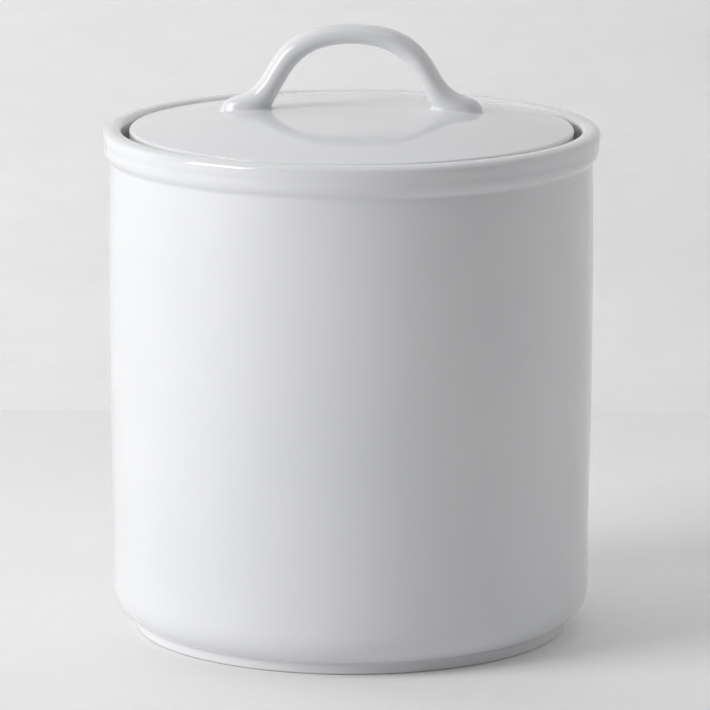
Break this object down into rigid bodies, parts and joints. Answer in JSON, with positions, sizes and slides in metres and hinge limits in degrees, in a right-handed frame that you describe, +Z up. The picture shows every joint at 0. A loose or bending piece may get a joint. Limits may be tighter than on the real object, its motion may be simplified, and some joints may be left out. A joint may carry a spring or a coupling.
{
  "type": "garlic keeper",
  "caption": "Round lidded porcelain jar for keeping garlic, with a rolled rim, a foot ring and a loose domed lid that lifts off by a loop handle.",
  "frame": {"origin": "on the surface that the jar stands on, at the jar's axis", "axes": "+Z up along the jar's axis, +X along the handle's loop"},
  "size_m": [0.1538, 0.1538, 0.1892],
  "materials": {
    "jar_porcelain": "clear glossy glaze on white porcelain, bare on the foot ring",
    "lid_porcelain": "clear glossy glaze on white porcelain, bare on the rest face",
    "handle_porcelain": "clear glossy glaze on white porcelain"
  },
  "bodies": {
    "jar": {"jar": "jar_porcelain"},
    "lid": {"lid": "lid_porcelain", "lid_handle": "handle_porcelain"}
  },
  "joints": [
    {"name": "lid_lift", "type": "slide", "parent": "jar", "child": "lid", "axis": [0, 0, 1], "range_m": [0, 0.12]}
  ]
}
